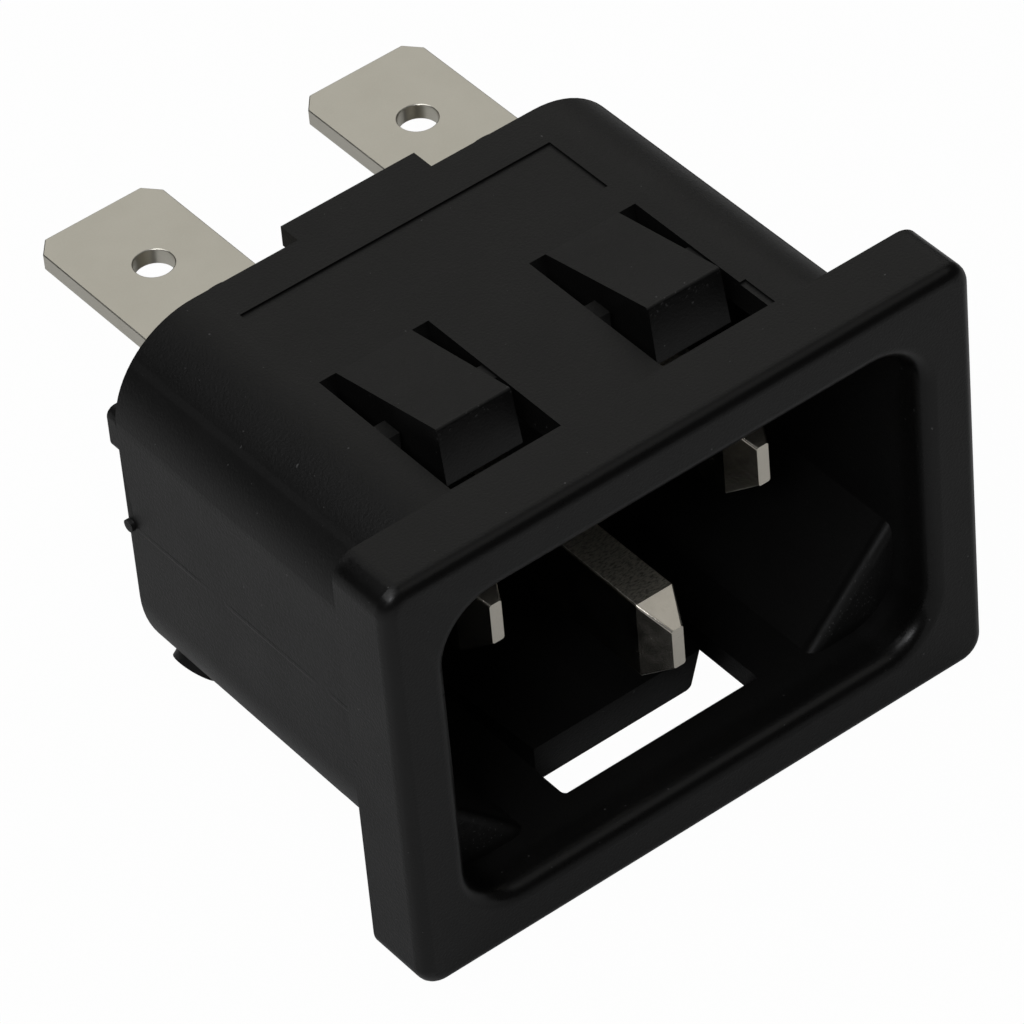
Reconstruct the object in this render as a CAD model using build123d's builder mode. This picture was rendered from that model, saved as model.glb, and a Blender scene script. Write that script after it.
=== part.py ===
from build123d import *
from math import cos, radians
import os

# C14 panel inlet socket, millimetres.
# X runs to the right seen from the front, Y to the rear and Z up.
# The origin is the middle of the panel opening, on the panel's front face.

# Connector cavity
cavity_width = 24.6
cavity_height = 16.5
cavity_depth = 16.8         # from the flange's front face to the back wall
cavity_corner_radius = 2.6
rim_radius = 0.75
key_leg = 4.65              # the 45 degree corners on the earth side
key_setback = 2.5
key_edge_radius = 0.48

# Body round the cavity
side_wall = 1.1
top_wall = 1.4              # above and below the cavity
back_wall = 4.3
body_draft = 0.05           # how much each side leans out from the rear to the flange
body_top_radius = 4.5
body_bottom_radius = 5.4

# Flange in front of the panel
flange_side_overhang = 1.65
flange_top_overhang = 1.35  # above and below the body
flange_thickness = 3.4
flange_corner_radius = 1.2
flange_edge_radius = 0.65

# Snap latches, cut out of the top and bottom walls and hinged at their rear end
cutout_front = 1.3
cutout_ramp = 1.2           # how far a cut-out's front wall leans towards the flange
cutout_length = 8.7
latch_lean = 0.43           # how far a latch's front face leans forward on the way in
top_latch_front = 3.25      # the edge that comes up behind the panel
top_latch_rise = 1.3
top_latch_offset = 5.42
top_latch_width = 3.88
top_latch_tip_width = 3.75
top_cutout_width = 5.6
latch_edge_radius = 0.12
bottom_latch_front = 3.1
bottom_latch_rise = 1.0
bottom_latch_width = 9.7
bottom_latch_inner_tip_width = 8.96
bottom_latch_tip_width = 8.35
bottom_latch_radius = 0.3
bottom_cutout_front = 0.87
bottom_cutout_width = 10.4  # at the cavity
bottom_cutout_draft = 0.12  # how much wider each side is at the outer face
bottom_cutout_radius = 0.3  # its left front corner
stop_ledge_width = 0.65
stop_ledge_length = 1.0
stop_ledge_height = 0.8
stop_ledge_place = 5.5
stop_ledge_drop = 0.15      # how far the ledge lies under the outer face
step_width = 0.3            # shallow step beside the right upper cut-out
step_length = 1.9
step_depth = 0.1

# Shallow bare panel on the top face
panel_length = 16.2
panel_width = 3.9
panel_margin = 2.15         # from the rear face
panel_recess = 0.1

# Rear face
lip_width = 7.0
lip_reach = 1.2
lip_height = 1.05
lug_radius = 2.0
lug_rise = 1.73             # above the tab's face
side_lug_width = 1.1
side_lug_height = 2.2
side_lug_reach = 0.6
side_lug_place = 4.8
side_lug_radius = 0.45
corner_stud_radius = 1.1
corner_stud_rise = 0.3
corner_stud_margin = 1.42   # from the rear face
seam_nub_radius = 0.3
seam_nub_rise = 0.2
seam_nub_inset = 0.2        # from the rear face to the nub's middle

# Contact pins
pin_width = 2.0
pin_height = 4.0
pin_pitch = 14.0
line_row = 2.0              # height of the line and neutral pins' middle
earth_offset = 4.0          # how far the earth pin lies below that row
line_pin_setback = 4.15     # from the flange's front face to the tip
earth_pin_setback = 1.45
pin_tip_length = 1.4
pin_tip_width = 0.6
pin_tip_height = 2.1
pin_tip_radius = 0.12
pin_shoulder_height = 5.0
pin_shoulder_depth = 1.2
pin_clearance = 0.03
rivet_radius = 0.95
rivet_clearance = 0.03
rivet_head_radius = 1.5
rivet_head_height = 0.5
rivet_head_chamfer = 0.3

# Quick-connect tabs, folded from strip
tab_width = 6.3
tab_thickness = 0.8
tab_reach = 10.25           # from the rear face to the tip
tab_rise = 4.77             # from the pin's middle to the blade's outer face
tab_tip_chamfer = 0.65
tab_tip_chamfer_length = 0.77
tab_hole_radius = 0.9
tab_hole_place = 4.4        # from the tip to the hole's middle
tab_bend_radius = 0.4
tab_foot = 2.2              # how far the leg runs past the rivet's middle
pocket_clearance = 0.1

# Places that follow from the sizes above
front_face = -flange_thickness
key_front = front_face + key_setback
cavity_back = front_face + cavity_depth
body_width = cavity_width + 2 * side_wall
body_height = cavity_height + 2 * top_wall
body_depth = cavity_back + back_wall
body_front_width = body_width + 2 * body_draft
flange_width = body_front_width + 2 * flange_side_overhang
flange_height = body_height + 2 * flange_top_overhang
half_height = body_height / 2
half_cavity = cavity_height / 2
cutout_rear = cutout_front + cutout_length
pocket_front = body_depth - tab_thickness
earth_row = line_row - earth_offset
line_side = pin_pitch / 2
tab_face = line_row + tab_rise
pick = 0.01                 # an edge this close to a place counts as lying there


def across(y):
    """A plane across the socket at depth y, looked at from the front."""
    return Plane.XZ.offset(-y)


def rectangle_outline(width, height, top_radius, bottom_radius):
    """An upright rectangle whose upper and lower corners have their own radii."""
    with BuildSketch() as outline:
        Rectangle(width, height)
        fillet(outline.vertices().group_by(Axis.Y)[-1], top_radius)
        fillet(outline.vertices().group_by(Axis.Y)[0], bottom_radius)
    return outline.sketch


def keyed_outline():
    """The cavity behind the rim: round corners above, 45 degree corners below."""
    with BuildSketch() as outline:
        Rectangle(cavity_width, cavity_height)
        fillet(outline.vertices().group_by(Axis.Y)[-1], cavity_corner_radius)
        chamfer(outline.vertices().group_by(Axis.Y)[0], key_leg)
    return outline.sketch


def upright_trapezoid(middle, low_width, high_width, low, high):
    """A face between two heights, as wide as given at each of them."""
    with BuildSketch() as outline:
        with BuildLine():
            Polyline(
                (middle - low_width / 2, low),
                (middle + low_width / 2, low),
                (middle + high_width / 2, high),
                (middle - high_width / 2, high),
                close=True,
            )
        make_face()
    return outline.sketch


def top_cutout_outline():
    """Side view of an upper cut-out: its front wall leans forward on the way in."""
    with BuildSketch() as outline:
        with BuildLine():
            Polyline(
                (cutout_rear, half_height + top_latch_rise),
                (cutout_front, half_height + top_latch_rise),
                (cutout_front, half_height),
                (cutout_front - cutout_ramp, half_cavity),
                (cutout_rear, half_cavity),
                close=True,
            )
        make_face()
    return outline.sketch


def bottom_cutout_outline(width, front):
    """Plan of the lower cut-out at one height, with its left front corner rounded."""
    with BuildSketch() as outline:
        with Locations((0, (front + cutout_rear) / 2)):
            Rectangle(width, cutout_rear - front)
        left_front = outline.vertices().sort_by_distance((-width / 2, front))[0]
        fillet(left_front, bottom_cutout_radius)
    return outline.sketch


def catch_face(x, front, rise, wall_side):
    """The plane of a latch's front face, from the cavity's face outward."""
    return Plane(
        origin=(x, front - latch_lean, wall_side * half_cavity),
        x_dir=(1, 0, 0),
        z_dir=(0, -top_wall - rise, wall_side * latch_lean),
    )


def catch_length(rise):
    """How long a latch's leaning front face is from the inside to the outside."""
    return Vector(latch_lean, top_wall + rise).length


def bottom_latch_outline(outer_width, inner_width, low, high):
    """A section of the lower latch, with its outer corners rounded."""
    with BuildSketch() as outline:
        add(upright_trapezoid(0, outer_width, inner_width, low, high))
        fillet(outline.vertices().group_by(Axis.Y)[0], bottom_latch_radius)
    return outline.sketch


def pin_slots():
    """Every pin's middle, as x and z."""
    return [(-line_side, line_row), (line_side, line_row), (0, earth_row)]


def tab_sides():
    """Every tab's x, the height of its pin and the way that it turns from there."""
    return [(-line_side, line_row, 1), (line_side, line_row, 1), (0, earth_row, -1)]


body_front_outline = rectangle_outline(
    body_front_width, body_height, body_top_radius, body_bottom_radius
)
body_rear_outline = rectangle_outline(
    body_width, body_height, body_top_radius, body_bottom_radius
)
cavity_outline = keyed_outline()
top_cutout = top_cutout_outline()
cavity_floor_cutout = bottom_cutout_outline(
    bottom_cutout_width, bottom_cutout_front - cutout_ramp
)
outer_face_cutout = bottom_cutout_outline(
    bottom_cutout_width + 2 * bottom_cutout_draft, bottom_cutout_front
)

with BuildPart() as housing:
    # Flange, with its front edge rounded
    with BuildSketch(across(0)):
        RectangleRounded(flange_width, flange_height, flange_corner_radius)
    extrude(amount=flange_thickness)
    fillet(housing.faces().sort_by(Axis.Y)[0].edges(), flange_edge_radius)

    # Body, a little wider at the flange than at the rear
    with BuildSketch(across(0)):
        add(body_front_outline)
    with BuildSketch(across(body_depth)):
        add(body_rear_outline)
    loft()

    # Mouth and keyed cavity
    with BuildSketch(across(front_face)):
        RectangleRounded(cavity_width, cavity_height, cavity_corner_radius)
    extrude(amount=-key_setback, mode=Mode.SUBTRACT)
    with BuildSketch(across(key_front)):
        add(cavity_outline)
    extrude(amount=-(cavity_depth - key_setback), mode=Mode.SUBTRACT)
    rim_edges = housing.faces().sort_by(Axis.Y)[0].inner_wires()[0].edges()
    fillet(rim_edges, rim_radius)
    key_edges = (
        housing.edges()
        .filter_by_position(Axis.Y, key_front - pick, key_front + pick)
        .filter_by(GeomType.LINE)
        .filter_by(lambda edge: abs(abs(edge.tangent_at(0.5).X) - abs(edge.tangent_at(0.5).Z)) < pick)
    )
    fillet(key_edges, key_edge_radius)

    # Cut-outs round the two upper latches and the wide lower one
    for side in (-1, 1):
        with BuildSketch(Plane.YZ.offset(side * top_latch_offset)):
            add(top_cutout)
        extrude(amount=top_cutout_width / 2, both=True, mode=Mode.SUBTRACT)
    with BuildSketch(Plane.XY.offset(-half_cavity)):
        add(cavity_floor_cutout)
    with BuildSketch(Plane.XY.offset(-half_height)):
        add(outer_face_cutout)
    loft(ruled=True, mode=Mode.SUBTRACT)

    # Upper latches, wedges that rise towards the flange
    for side in (-1, 1):
        with BuildSketch(across(cutout_rear)):
            add(upright_trapezoid(
                side * top_latch_offset, top_latch_width, top_latch_width, half_cavity, half_height
            ))
        with BuildSketch(catch_face(side * top_latch_offset, top_latch_front, top_latch_rise, 1)):
            add(upright_trapezoid(
                0, top_latch_width, top_latch_tip_width, 0, catch_length(top_latch_rise)
            ))
        loft(ruled=True)
    latch_tip_edges = (
        housing.edges()
        .filter_by_position(Axis.Y, top_latch_front - pick, top_latch_front + pick)
        .filter_by(lambda edge: edge.center().Z > half_height + top_latch_rise / 2)
    )
    fillet(latch_tip_edges, latch_edge_radius)

    # Lower latch, one wide wedge flush with the cavity's floor
    with BuildSketch(across(cutout_rear)):
        add(bottom_latch_outline(
            bottom_latch_width, bottom_latch_width, -half_height, -half_cavity
        ))
    with BuildSketch(catch_face(0, bottom_latch_front, bottom_latch_rise, -1)):
        add(bottom_latch_outline(
            bottom_latch_tip_width, bottom_latch_inner_tip_width, -catch_length(bottom_latch_rise), 0
        ))
    loft(ruled=True)

    # Small ledges in the gap beside each upper latch, which stop it from bending in too far
    for side in (-1, 1):
        for edge_side in (-1, 1):
            ledge_x = side * top_latch_offset + edge_side * (top_cutout_width - stop_ledge_width) / 2
            with BuildSketch(Plane.XY.offset(half_height - stop_ledge_drop)):
                with Locations((ledge_x, stop_ledge_place + stop_ledge_length / 2)):
                    Rectangle(stop_ledge_width, stop_ledge_length)
            extrude(amount=-stop_ledge_height)

    # Shallow step along the outer front edge of the right upper cut-out
    step_x = top_latch_offset + top_cutout_width / 2
    with BuildSketch(Plane.XY.offset(half_height)):
        with Locations((step_x, cutout_front)):
            Rectangle(step_width, step_length, align=(Align.MIN, Align.MIN))
    extrude(amount=-step_depth, mode=Mode.SUBTRACT)

    # Bare recessed panel on the top face
    with BuildSketch(Plane.XY.offset(half_height)):
        with Locations((0, body_depth - panel_margin - panel_width / 2)):
            Rectangle(panel_length, panel_width)
    extrude(amount=-panel_recess, mode=Mode.SUBTRACT)

    # Lip along the middle of the rear top edge
    with BuildSketch(across(body_depth)):
        with Locations((0, half_height - lip_height / 2)):
            Rectangle(lip_width, lip_height)
    extrude(amount=-lip_reach)

    # Round-topped lug over each upper tab
    for side in (-1, 1):
        with BuildSketch(across(body_depth)):
            with Locations((side * line_side, tab_face + lug_rise - lug_radius)):
                Circle(lug_radius)
            with Locations((side * line_side, tab_face + pocket_clearance)):
                Rectangle(
                    2 * lug_radius, 2 * lug_radius,
                    align=(Align.CENTER, Align.MAX), mode=Mode.SUBTRACT,
                )
        extrude(amount=-lip_reach)

    # Side lugs on the rear face
    for side in (-1, 1):
        with BuildSketch(across(body_depth)):
            with Locations((side * (body_width - side_lug_width) / 2, side_lug_place)):
                RectangleRounded(side_lug_width, side_lug_height, side_lug_radius)
        extrude(amount=-side_lug_reach)

    # Low round studs on the lower corners near the rear
    # A corner's round stands back this far from each side at its middle
    corner_setback = body_bottom_radius * (1 - cos(radians(45)))
    for side in (-1, 1):
        stud_root = Vector(
            side * (body_width / 2 - corner_setback),
            body_depth - corner_stud_margin,
            -half_height + corner_setback,
        )
        outward = Vector(side, 0, -1).normalized()
        stud_plane = Plane(origin=stud_root, x_dir=(0, 1, 0), z_dir=outward)
        with BuildSketch(stud_plane.offset(-corner_stud_radius / 2)):
            Circle(corner_stud_radius)
        extrude(amount=corner_stud_radius / 2 + corner_stud_rise)

    # Nubs where the mould seam on each side ends at the rear
    for side in (-1, 1):
        nub_face = Plane(
            origin=(side * body_width / 2, body_depth - seam_nub_inset, 0), z_dir=(side, 0, 0)
        )
        with BuildSketch(nub_face.offset(-seam_nub_rise)):
            Circle(seam_nub_radius)
        extrude(amount=2 * seam_nub_rise)

    # Slots for the pins, with room for their shoulders at the back of the cavity
    with BuildSketch(across(cavity_back)):
        with Locations(*pin_slots()):
            Rectangle(pin_width + 2 * pin_clearance, pin_shoulder_height + 2 * pin_clearance)
    extrude(amount=-pin_shoulder_depth, mode=Mode.SUBTRACT)
    with BuildSketch(across(cavity_back)):
        with Locations(*pin_slots()):
            Rectangle(pin_width + 2 * pin_clearance, pin_height + 2 * pin_clearance)
    extrude(amount=-(body_depth - cavity_back), mode=Mode.SUBTRACT)

    # Pockets in the rear face that the tabs' legs lie in
    for x, row, turn in tab_sides():
        pocket_top = row + turn * (tab_rise + pocket_clearance)
        pocket_foot = row - turn * (tab_foot + pocket_clearance)
        with BuildSketch(across(body_depth)):
            with Locations((x, (pocket_top + pocket_foot) / 2)):
                Rectangle(tab_width + 2 * pocket_clearance, abs(pocket_top - pocket_foot))
        extrude(amount=tab_thickness, mode=Mode.SUBTRACT)


def contact_pin(x, row, setback):
    """A pin blanked from flat bar: four-sided tip, shoulder, and a riveted rear end."""
    tip = front_face + setback
    with BuildPart() as pin:
        # Tip, from its small front face back to the full section
        with BuildSketch(across(tip)):
            with Locations((x, row)):
                RectangleRounded(pin_tip_width, pin_tip_height, pin_tip_radius)
        with BuildSketch(across(tip + pin_tip_length)):
            with Locations((x, row)):
                RectangleRounded(pin_width, pin_height, pin_tip_radius)
        loft()
        # Shank through the back wall
        with BuildSketch(across(tip + pin_tip_length)):
            with Locations((x, row)):
                RectangleRounded(pin_width, pin_height, pin_tip_radius)
        extrude(amount=-(pocket_front - tip - pin_tip_length))
        # Shoulder, flush with the cavity's back
        with BuildSketch(across(cavity_back)):
            with Locations((x, row)):
                Rectangle(pin_width, pin_shoulder_height)
        extrude(amount=-pin_shoulder_depth)
        # Rivet through the tab, and its head
        with BuildSketch(across(pocket_front)):
            with Locations((x, row)):
                Circle(rivet_radius)
        extrude(amount=-tab_thickness)
        with BuildSketch(across(body_depth)):
            with Locations((x, row)):
                Circle(rivet_head_radius)
        extrude(amount=-rivet_head_height)
        head_rim = pin.faces().sort_by(Axis.Y)[-1].edges()
        chamfer(head_rim, rivet_head_chamfer)
    return pin


def quick_tab(x, row, turn):
    """A tab folded from strip: a leg under the rivet head and a blade to the rear."""
    tip = body_depth + tab_reach
    foot = row - turn * tab_foot
    outer_face = row + turn * tab_rise
    inner_face = outer_face - turn * tab_thickness
    with BuildPart() as tab:
        # Side view of the folded strip, as thick as the strip all along
        with BuildSketch(Plane.YZ.offset(x)) as fold:
            with BuildLine():
                Polyline(
                    (pocket_front, foot),
                    (body_depth, foot),
                    (body_depth, inner_face),
                    (tip, inner_face),
                    (tip, outer_face),
                    (pocket_front, outer_face),
                    close=True,
                )
            make_face()
            inner_corner = fold.vertices().sort_by_distance((body_depth, inner_face))[0]
            fillet(inner_corner, tab_bend_radius)
            outer_corner = fold.vertices().sort_by_distance((pocket_front, outer_face))[0]
            fillet(outer_corner, tab_bend_radius + tab_thickness)
        extrude(amount=tab_width / 2, both=True)
        # Corners of the tip
        tip_edges = tab.faces().sort_by(Axis.Y)[-1].edges().filter_by(Axis.Z)
        tip_face = tab.faces().sort_by(Axis.Y)[-1]
        chamfer(tip_edges, tab_tip_chamfer, tab_tip_chamfer_length, reference=tip_face)
        # Detent hole in the blade and rivet hole in the leg
        with BuildSketch(Plane.XY.offset(outer_face)):
            with Locations((x, tip - tab_hole_place)):
                Circle(tab_hole_radius)
        extrude(amount=-turn * tab_thickness, mode=Mode.SUBTRACT)
        with BuildSketch(across(body_depth)):
            with Locations((x, row)):
                Circle(rivet_radius + rivet_clearance)
        extrude(amount=tab_thickness, mode=Mode.SUBTRACT)
    return tab


line_pin = contact_pin(-line_side, line_row, line_pin_setback)
neutral_pin = contact_pin(line_side, line_row, line_pin_setback)
earth_pin = contact_pin(0, earth_row, earth_pin_setback)
line_tab = quick_tab(-line_side, line_row, 1)
neutral_tab = quick_tab(line_side, line_row, 1)
earth_tab = quick_tab(0, earth_row, -1)

os.makedirs("parts", exist_ok=True)

housing.part.label = "housing"
export_step(housing.part, "parts/housing.step")
line_pin.part.label = "line_pin"
export_step(line_pin.part, "parts/line_pin.step")
neutral_pin.part.label = "neutral_pin"
export_step(neutral_pin.part, "parts/neutral_pin.step")
earth_pin.part.label = "earth_pin"
export_step(earth_pin.part, "parts/earth_pin.step")
line_tab.part.label = "line_tab"
export_step(line_tab.part, "parts/line_tab.step")
neutral_tab.part.label = "neutral_tab"
export_step(neutral_tab.part, "parts/neutral_tab.step")
earth_tab.part.label = "earth_tab"
export_step(earth_tab.part, "parts/earth_tab.step")
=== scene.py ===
import bmesh
import bpy
import numpy as np
from mathutils import Matrix, Vector


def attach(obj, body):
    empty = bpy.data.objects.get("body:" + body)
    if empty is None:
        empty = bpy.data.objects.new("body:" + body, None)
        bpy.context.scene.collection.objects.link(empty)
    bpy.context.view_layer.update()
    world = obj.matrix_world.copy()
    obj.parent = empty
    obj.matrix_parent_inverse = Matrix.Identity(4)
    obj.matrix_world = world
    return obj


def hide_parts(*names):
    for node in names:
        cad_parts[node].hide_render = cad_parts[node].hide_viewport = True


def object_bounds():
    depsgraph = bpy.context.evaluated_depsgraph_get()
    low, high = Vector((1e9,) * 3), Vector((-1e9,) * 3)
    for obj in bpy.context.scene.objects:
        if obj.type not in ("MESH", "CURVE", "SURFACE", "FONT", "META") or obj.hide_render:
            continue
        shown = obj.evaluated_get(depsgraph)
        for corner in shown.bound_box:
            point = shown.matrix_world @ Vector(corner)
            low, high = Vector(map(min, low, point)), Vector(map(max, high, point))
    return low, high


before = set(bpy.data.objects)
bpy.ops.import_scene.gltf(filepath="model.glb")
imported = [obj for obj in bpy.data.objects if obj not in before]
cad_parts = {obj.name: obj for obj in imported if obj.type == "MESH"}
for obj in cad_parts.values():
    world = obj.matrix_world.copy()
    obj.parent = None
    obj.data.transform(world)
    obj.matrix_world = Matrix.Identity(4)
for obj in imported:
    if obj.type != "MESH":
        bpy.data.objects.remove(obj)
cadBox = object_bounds()
mm = 0.001
print("frame loaded:", ", ".join(sorted(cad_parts)))


# Shader maths: a Wire is one socket, and + - * on wires add Math nodes.

class Wire:
    def __init__(self, socket):
        self.socket = socket
        self.tree = socket.id_data

    def maths(self, operation, first, second=0.0):
        node = self.tree.nodes.new("ShaderNodeMath")
        node.operation = operation
        for place, value in enumerate((first, second)):
            plug(node.inputs[place], value)
        return Wire(node.outputs[0])

    def __add__(self, other):
        return self.maths("ADD", self, other)

    def __sub__(self, other):
        return self.maths("SUBTRACT", self, other)

    def __mul__(self, other):
        return self.maths("MULTIPLY", self, other)

    def __rsub__(self, other):
        return self.maths("SUBTRACT", other, self)

    __radd__ = __add__
    __rmul__ = __mul__

    def node(self, kind, settings=None, sockets=None, output=0):
        return addNode(self.tree, kind, settings, sockets, output)


def plug(socket, value):
    if isinstance(value, Wire):
        socket.id_data.links.new(value.socket, socket)
    else:
        socket.default_value = value


def addNode(tree, kind, settings=None, sockets=None, output=0):
    # settings first, because some of them decide which sockets the node has
    node = tree.nodes.new(kind)
    for name, value in (settings or {}).items():
        setattr(node, name, value)
    for name, value in (sockets or {}).items():
        plug(node.inputs[name], value)
    return None if output is None else Wire(node.outputs[output])


def newFinish(name):
    # an empty material and the object's own coordinates in millimetres
    material = bpy.data.materials.new(name)
    material.use_nodes = True
    tree = material.node_tree
    tree.nodes.clear()
    place = addNode(tree, "ShaderNodeTexCoord", output=3)
    place = place.node("ShaderNodeVectorMath", {"operation": "SCALE"}, {"Vector": place, "Scale": 1 / mm})
    return material, tree, place


def showSurface(tree, shader):
    addNode(tree, "ShaderNodeOutputMaterial", sockets={"Surface": shader}, output=None)


def noise(place, perMm, detail=2.0, roughness=0.5, stretch=(1, 1, 1)):
    if stretch != (1, 1, 1):
        place = place.node("ShaderNodeMapping", sockets={"Vector": place, "Scale": stretch})
    return place.node("ShaderNodeTexNoise", sockets={
        "Vector": place, "Scale": perMm, "Detail": detail, "Roughness": roughness,
    })


def between(wire, low, high):
    # 0 below low, 1 above high, smooth in between
    return wire.node("ShaderNodeMapRange", {"interpolation_type": "SMOOTHSTEP"}, {
        "Value": wire, "From Min": low, "From Max": high,
    })


def axis(place, number):
    return place.node("ShaderNodeSeparateXYZ", sockets={"Vector": place}, output=number)


def mixColours(share, first, second):
    # a colour node has one set of sockets for each type, so these are chosen by their place
    return share.node("ShaderNodeMix", {"data_type": "RGBA"}, {0: share, 6: first, 7: second}, output=2)


def bumpFrom(height, depth):
    # height times depth is the relief in millimetres
    return height.node("ShaderNodeBump", sockets={"Height": height, "Distance": depth * mm})


def grey(level, warmth=0.0):
    return (level * (1 + warmth), level, level * (1 - warmth), 1.0)


def largest(*wires):
    result = wires[0]
    for wire in wires[1:]:
        result = result.maths("MAXIMUM", result, wire)
    return result


def size(wire):
    return wire.maths("ABSOLUTE", wire)


def closeTo(wire, middle, reach):
    # 1 within half the reach of the middle, 0 beyond the reach
    return 1.0 - between(size(wire - middle), reach * 0.5, reach)


# Black thermoplastic: a fine spark-eroded grain, handling marks, a painted sparkling highlight on the
# key's edge and a few specks of dust

plastic = {
    "shade": 0.0028, "lighterBy": 1.5, "warmth": 0.03, "specular": 0.28,
    "roughness": 0.47, "edgeRoughness": 0.30, "cavityRoughness": 0.62, "keyRoughness": 0.30,
    "grainPerMm": 8.0, "grainDepth": 0.018, "grainWear": 0.12,
    "cloudPerMm": 0.3, "cloudWear": 0.10,
    "dust": 0.10, "dustAndSparkleShade": 0.6, "specksPerMm": 5.0, "specksFrom": 0.862, "specksTo": 0.88,
    "scuffAndSparkle": 0.07, "scuffAndSparklePerMm": 8.0, "scuffAndSparkleFrom": 0.66, "scuffAndSparkleTo": 0.72,
}
# places and sizes in millimetres, in the frame that the CAD solids use
moulding = {
    "flangeRear": 0.0, "mouthHalfWidth": 12.3, "mouthHalfHeight": 8.25, "mouthFade": 0.1,
    "dullFrom": -2.1, "dullTo": -1.3,
    "keyFront": -0.9, "keyHalfWidth": 11.0, "keyFoot": -7.9, "keyReach": 0.35,
    "bodyHalfWidth": 13.4, "latchTip": 3.25, "latchTop": 10.6, "tipReach": 0.25,
    "seamWidth": 0.14, "seamRise": 0.02, "fade": 0.3, "edgeFade": 0.4,
}


def blackPlastic():
    material, tree, place = newFinish("blackPlastic")
    x, y, z = axis(place, 0), axis(place, 1), axis(place, 2)
    grain = noise(place, plastic["grainPerMm"], 2.0, 0.6)
    cloud = noise(place, plastic["cloudPerMm"], 3.0, 0.55)
    specks = between(noise(place, plastic["specksPerMm"], 0.0), plastic["specksFrom"], plastic["specksTo"])
    fade, edgeFade, mouthFade = moulding["fade"], moulding["edgeFade"], moulding["mouthFade"]
    halfWidth, halfHeight = moulding["mouthHalfWidth"], moulding["mouthHalfHeight"]

    # the flange's rounded edges are polished by the mould, the cavity is dull
    facing = addNode(tree, "ShaderNodeTexCoord", output=1)
    square = facing.node("ShaderNodeVectorMath", {"operation": "MULTIPLY"}, {0: facing, 1: facing})
    flat = between(largest(axis(square, 0), axis(square, 1), axis(square, 2)), 0.80, 0.98)
    onFlange = 1.0 - between(y, moulding["flangeRear"] - edgeFade, moulding["flangeRear"])
    polished = (1.0 - flat) * onFlange
    insideWidth = 1.0 - between(size(x), halfWidth, halfWidth + mouthFade)
    insideHeight = 1.0 - between(size(z), halfHeight, halfHeight + mouthFade)
    inCavity = insideWidth * insideHeight * between(y, moulding["dullFrom"], moulding["dullTo"])

    # rubbed specks along the latch tips, and light specks along the key's edge that are a painted
    # sparkling highlight
    rubbedAndSparkleSpecks = between(noise(place, plastic["scuffAndSparklePerMm"], 1.0), plastic["scuffAndSparkleFrom"], plastic["scuffAndSparkleTo"])
    onTop = between(z, moulding["latchTop"] - fade, moulding["latchTop"])
    tips = closeTo(y, moulding["latchTip"], moulding["tipReach"]) * onTop
    awayFromWall = 1.0 - between(size(x), moulding["keyHalfWidth"], moulding["keyHalfWidth"] + fade)
    awayFromWall = awayFromWall * between(z, moulding["keyFoot"], moulding["keyFoot"] + fade)
    keyEdge = closeTo(y, moulding["keyFront"], moulding["keyReach"]) * inCavity * awayFromWall
    scuffsAndSparkle = rubbedAndSparkleSpecks * largest(tips, keyEdge)

    dark = grey(plastic["shade"], plastic["warmth"])
    lighter = grey(plastic["shade"] * plastic["lighterBy"], plastic["warmth"])
    colour = mixColours(cloud, dark, lighter)
    specks = specks * (1.0 - inCavity * 0.8)
    # the key-edge specks mixed in here are a painted highlight; the rest are dust and rubbed wear
    marks = specks * plastic["dust"] + scuffsAndSparkle * plastic["scuffAndSparkle"]
    colour = mixColours(marks, colour, grey(plastic["dustAndSparkleShade"]))
    wear = (cloud - 0.5) * plastic["cloudWear"] + (grain - 0.5) * plastic["grainWear"]
    polish = polished * (plastic["edgeRoughness"] - plastic["roughness"])
    dullness = inCavity * (plastic["cavityRoughness"] - plastic["roughness"])
    dullness = dullness + keyEdge * noise(place, 2.5, 2.0) * plastic["keyRoughness"]
    roughness = plastic["roughness"] + wear + polish + dullness

    # mould seam along each side of the body
    onSide = between(size(x), moulding["bodyHalfWidth"] - fade, moulding["bodyHalfWidth"] - 0.1)
    uneven = between(noise(place, 0.5, 3.0), 0.35, 0.65)
    seam = closeTo(z, 0.0, moulding["seamWidth"]) * onSide * (1.0 - onFlange) * uneven
    relief = grain * (1.0 - polished * 0.75) * plastic["grainDepth"] + seam * moulding["seamRise"]
    shader = addNode(tree, "ShaderNodeBsdfPrincipled", sockets={
        "Base Color": colour, "Roughness": roughness, "Normal": bumpFrom(relief, 1.0),
        "Specular IOR Level": plastic["specular"],
    })
    showSurface(tree, shader)
    return material


# Tin plated tabs: satin, with a faint speckle

tabPlate = {
    "shade": (0.68, 0.655, 0.58, 1.0), "shadeDark": (0.64, 0.615, 0.54, 1.0), "roughness": 0.36,
    "cloudPerMm": 0.5, "specklePerMm": 14.0, "speckleWear": 0.15, "speckleDepth": 0.001,
}


def tinPlate():
    material, tree, place = newFinish("tinPlate")
    cloud = noise(place, tabPlate["cloudPerMm"], 3.0)
    speckle = noise(place, tabPlate["specklePerMm"], 2.0, 0.7)
    patches = between(cloud * 0.5 + speckle * 0.5, 0.3, 0.7)
    colour = mixColours(patches, tabPlate["shadeDark"], tabPlate["shade"])
    roughness = tabPlate["roughness"] + (speckle - 0.5) * tabPlate["speckleWear"]
    shader = addNode(tree, "ShaderNodeBsdfPrincipled", sockets={
        "Base Color": colour, "Roughness": roughness, "Metallic": 1.0,
        "Normal": bumpFrom(speckle, tabPlate["speckleDepth"]),
    })
    showSurface(tree, shader)
    return material


# Nickel plated pins: smooth wide faces, narrow faces with the striations of the shear

pinPlate = {
    "shade": (0.70, 0.66, 0.58, 1.0), "roughness": 0.22, "tip": 0.0,
    "shearDark": (0.25, 0.24, 0.20, 1.0), "shearRoughness": 0.44,
    "finePerMm": 9.0, "fineWear": 0.10, "fineDepth": 0.002,
    "blotchPerMm": 1.2, "blotchWear": 0.20, "blotchDepth": 0.01,
    "tornPerMm": 8.0, "tornStretch": (0.5, 1.2, 1.0), "tornWear": 0.25, "tornDepth": 0.02,
}


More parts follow.
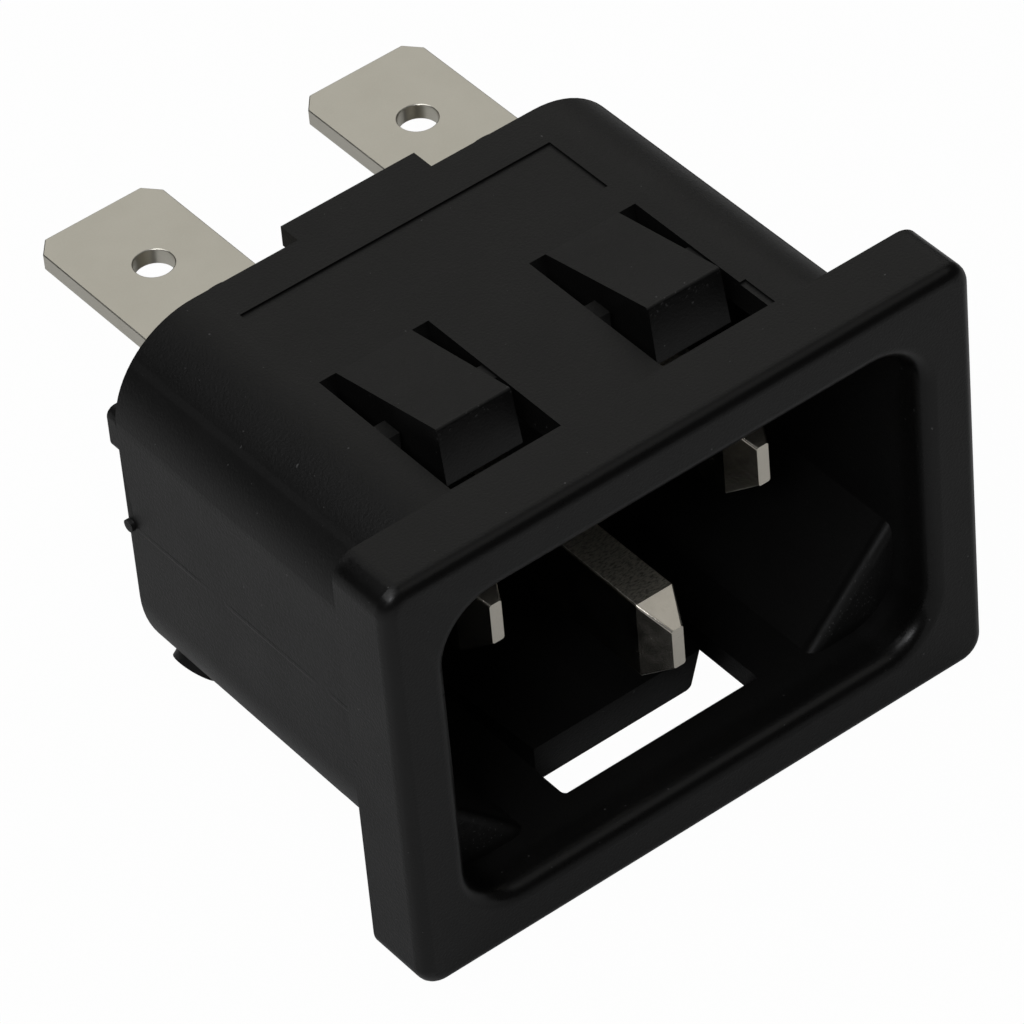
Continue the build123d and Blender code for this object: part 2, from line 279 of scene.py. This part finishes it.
def nickelPlate():
    material, tree, place = newFinish("nickelPlate")
    facing = addNode(tree, "ShaderNodeTexCoord", output=1)
    upright = axis(facing, 2)
    narrow = between(upright * upright, 0.80, 0.95)
    fine = noise(place, pinPlate["finePerMm"], 3.0, 0.6)
    blotch = noise(place, pinPlate["blotchPerMm"], 3.0, 0.6)
    torn = noise(place, pinPlate["tornPerMm"], 4.0, 0.7, pinPlate["tornStretch"])
    fromTip = between(axis(place, 1), pinPlate["tip"] - 2.0, pinPlate["tip"] + 5.0)
    shearShare = narrow * (1.0 - between(torn, 0.36, 0.58) * (1.0 - fromTip * 0.5))
    colour = mixColours(shearShare, pinPlate["shade"], pinPlate["shearDark"])
    plain = pinPlate["roughness"] + (fine - 0.5) * pinPlate["fineWear"]
    plain = plain + (blotch - 0.5) * pinPlate["blotchWear"]
    sheared = pinPlate["shearRoughness"] + (torn - 0.5) * pinPlate["tornWear"]
    roughness = plain + narrow * (sheared - plain)
    relief = fine * pinPlate["fineDepth"] + blotch * pinPlate["blotchDepth"]
    relief = relief + narrow * torn * pinPlate["tornDepth"]
    shader = addNode(tree, "ShaderNodeBsdfPrincipled", sockets={
        "Base Color": colour, "Roughness": roughness, "Metallic": 1.0, "Normal": bumpFrom(relief, 1.0),
    })
    showSurface(tree, shader)
    return material


# A dressed piece is a merged copy of a CAD node, with soft edges and its finish

# angles in degrees, radii in millimetres
edges = {
    "bevelAngle": 30, "sharpAngle": 16, "flatAngle": 0.3, "segments": 2,
    "housingRadius": 0.05, "pinRadius": 0.04, "tabRadius": 0.05,
}


def dressed(nodeName, pieceName, material, edgeRadius):
    mesh = bmesh.new()
    mesh.from_mesh(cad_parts[nodeName].data)
    bmesh.ops.remove_doubles(mesh, verts=mesh.verts, dist=1e-7)
    flatAngle = np.radians(edges["flatAngle"])
    bmesh.ops.dissolve_limit(mesh, angle_limit=flatAngle, verts=mesh.verts, edges=mesh.edges)
    # a wide face with a pocket inside would close over the pocket once its edges are bevelled
    bmesh.ops.triangulate(mesh, faces=[face for face in mesh.faces if len(face.verts) > 4])
    data = bpy.data.meshes.new(pieceName)
    mesh.to_mesh(data)
    mesh.free()
    data.materials.append(material)
    data.shade_smooth()
    data.set_sharp_from_angle(angle=np.radians(edges["sharpAngle"]))
    piece = bpy.data.objects.new(pieceName, data)
    bpy.context.scene.collection.objects.link(piece)
    bevel = piece.modifiers.new("softEdges", "BEVEL")
    bevel.width = edgeRadius * mm
    bevel.segments = edges["segments"]
    bevel.limit_method = "ANGLE"
    bevel.angle_limit = np.radians(edges["bevelAngle"])
    bevel.miter_outer = "MITER_ARC"
    flats = piece.modifiers.new("flatFaces", "WEIGHTED_NORMAL")
    flats.mode = "FACE_AREA"
    flats.keep_sharp = True
    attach(piece, "root")
    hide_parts(nodeName)
    return piece


housingFinish = blackPlastic()
tabFinish = tinPlate()
pinFinish = nickelPlate()
dressed("housing", "socketHousing", housingFinish, edges["housingRadius"])
for name in ("line", "neutral", "earth"):
    dressed(name + "_pin", name + "Pin", pinFinish, edges["pinRadius"])
    dressed(name + "_tab", name + "Tab", tabFinish, edges["tabRadius"])
print("pieces dressed")


# Studio: a pale floor painted dimmer away from the object as a painted fall-off of its light, and plain
# soft lamps

studio = {
    "floorSize": 6.0, "floorShade": 0.75, "farShade": 0.05, "fadeFrom": 0.10, "fadeTo": 0.50,
    "paintShows": 0.02, "world": 0.04,
}


def floorMaterial():
    material, tree, place = newFinish("paleFloor")
    cameraRay = addNode(tree, "ShaderNodeLightPath", output=0)
    clearRay = addNode(tree, "ShaderNodeLightPath", output=6)
    away = place.node("ShaderNodeVectorMath", {"operation": "LENGTH"}, {"Vector": place}, output=1) * mm
    # painted light: the floor's own colour goes from pale near the object to dim far away, in place of
    # lamp light falling off
    near = 1.0 - between(away, studio["fadeFrom"], studio["fadeTo"])
    painted = addNode(tree, "ShaderNodeBsdfDiffuse", sockets={"Color": grey(studio["floorShade"])})
    dim = addNode(tree, "ShaderNodeBsdfDiffuse", sockets={"Color": grey(studio["farShade"])})
    paint = addNode(tree, "ShaderNodeMixShader", sockets={0: near, 1: dim, 2: painted})
    white = addNode(tree, "ShaderNodeEmission", sockets={"Color": grey(1.0), "Strength": 1.0})
    share = cameraRay * (1.0 - near * studio["paintShows"]) + clearRay * 0.9
    showSurface(tree, addNode(tree, "ShaderNodeMixShader", sockets={0: share, 1: paint, 2: white}))
    return material


def makeFloor():
    low = cadBox[0]
    half = studio["floorSize"] / 2
    corners = np.array([(-half, -half), (half, -half), (half, half), (-half, half)])
    points = np.column_stack([corners, np.full(4, low.z)])
    data = bpy.data.meshes.new("floor")
    data.from_pydata(points.tolist(), [], [(0, 1, 2, 3)])
    data.materials.append(floorMaterial())
    floor = bpy.data.objects.new("floor", data)
    bpy.context.scene.collection.objects.link(floor)


def makeWorld():
    world = bpy.data.worlds.new("studio")
    world.use_nodes = True
    tree = world.node_tree
    tree.nodes.clear()
    cameraRay = addNode(tree, "ShaderNodeLightPath", output=0)
    level = cameraRay * (1.0 - studio["world"]) + studio["world"]
    sky = addNode(tree, "ShaderNodeBackground", sockets={"Color": grey(1.0), "Strength": level})
    addNode(tree, "ShaderNodeOutputWorld", sockets={"Surface": sky}, output=None)
    bpy.context.scene.world = world


# a lamp's turn is from the rear towards the right and its height is the angle above level, in degrees
lamps = {
    "rear": {
        "turn": 36, "height": 40, "distance": 0.45, "wide": 0.48, "high": 0.42, "radiance": 0.61,
        "colour": (1.0, 0.99, 0.95),
    },
    "left": {
        "turn": -88, "height": 62, "distance": 0.42, "wide": 0.36, "high": 0.30, "radiance": 2.0,
        "colour": (0.98, 0.99, 1.0),
    },
    "right": {
        "turn": 128, "height": 56, "distance": 0.45, "wide": 0.30, "high": 0.22, "radiance": 0.46,
        "colour": (1.0, 0.99, 0.96),
    },
    "front": {
        "turn": 222, "height": 62, "distance": 0.45, "wide": 0.36, "high": 0.25, "radiance": 0.22,
        "colour": (0.98, 0.99, 1.0),
    },
    "spark": {
        "turn": 230, "height": 44, "distance": 0.50, "wide": 0.10, "high": 0.10, "radiance": 12.0,
        "colour": (0.97, 0.98, 1.0),
    },
}


def makeLamps():
    for name, lamp in lamps.items():
        turn, height = np.radians([lamp["turn"], lamp["height"]])
        away = Vector((np.sin(turn) * np.cos(height), np.cos(turn) * np.cos(height), np.sin(height)))
        data = bpy.data.lights.new(name, "AREA")
        data.shape = "RECTANGLE"
        data.size = lamp["wide"]
        data.size_y = lamp["high"]
        data.color = lamp["colour"]
        data.energy = lamp["radiance"] * np.pi * lamp["wide"] * lamp["high"]
        light = bpy.data.objects.new(name, data)
        bpy.context.scene.collection.objects.link(light)
        light.location = away * lamp["distance"]
        light.rotation_mode = "QUATERNION"
        light.rotation_quaternion = away.to_track_quat("Z", "Y")
        light.visible_camera = False


# Camera: to the front left and above, as in the photograph, angles in degrees, the rest in millimetres

view = {
    "azimuth": 34.5787, "height": 42.3178, "roll": -5.3814, "distance": 294.016,
    "lens": 252.53, "sensor": 36, "target": (-2.883, 4.926, 2.657), "near": 10, "far": 20000,
}


def makeCamera():
    azimuth, height, roll = np.radians([view["azimuth"], view["height"], view["roll"]])
    ahead = np.array([np.sin(azimuth) * np.cos(height), np.cos(azimuth) * np.cos(height), -np.sin(height)])
    level = np.cross(ahead, (0, 0, 1))
    level /= np.linalg.norm(level)
    upright = np.cross(level, ahead)
    right = level * np.cos(roll) + upright * np.sin(roll)
    up = np.cross(right, ahead)
    place = (np.array(view["target"]) - ahead * view["distance"]) * mm
    data = bpy.data.cameras.new("camera")
    data.lens = view["lens"]
    data.sensor_width = view["sensor"]
    data.clip_start = view["near"] * mm
    data.clip_end = view["far"] * mm
    camera = bpy.data.objects.new("camera", data)
    bpy.context.scene.collection.objects.link(camera)
    turn = Matrix(np.column_stack([right, up, -ahead]).tolist()).to_4x4()
    camera.matrix_world = Matrix.Translation(Vector(place)) @ turn
    bpy.context.scene.camera = camera


makeFloor()
makeWorld()
makeLamps()
makeCamera()
bpy.context.scene.view_settings.view_transform = "Standard"
print("studio ready")
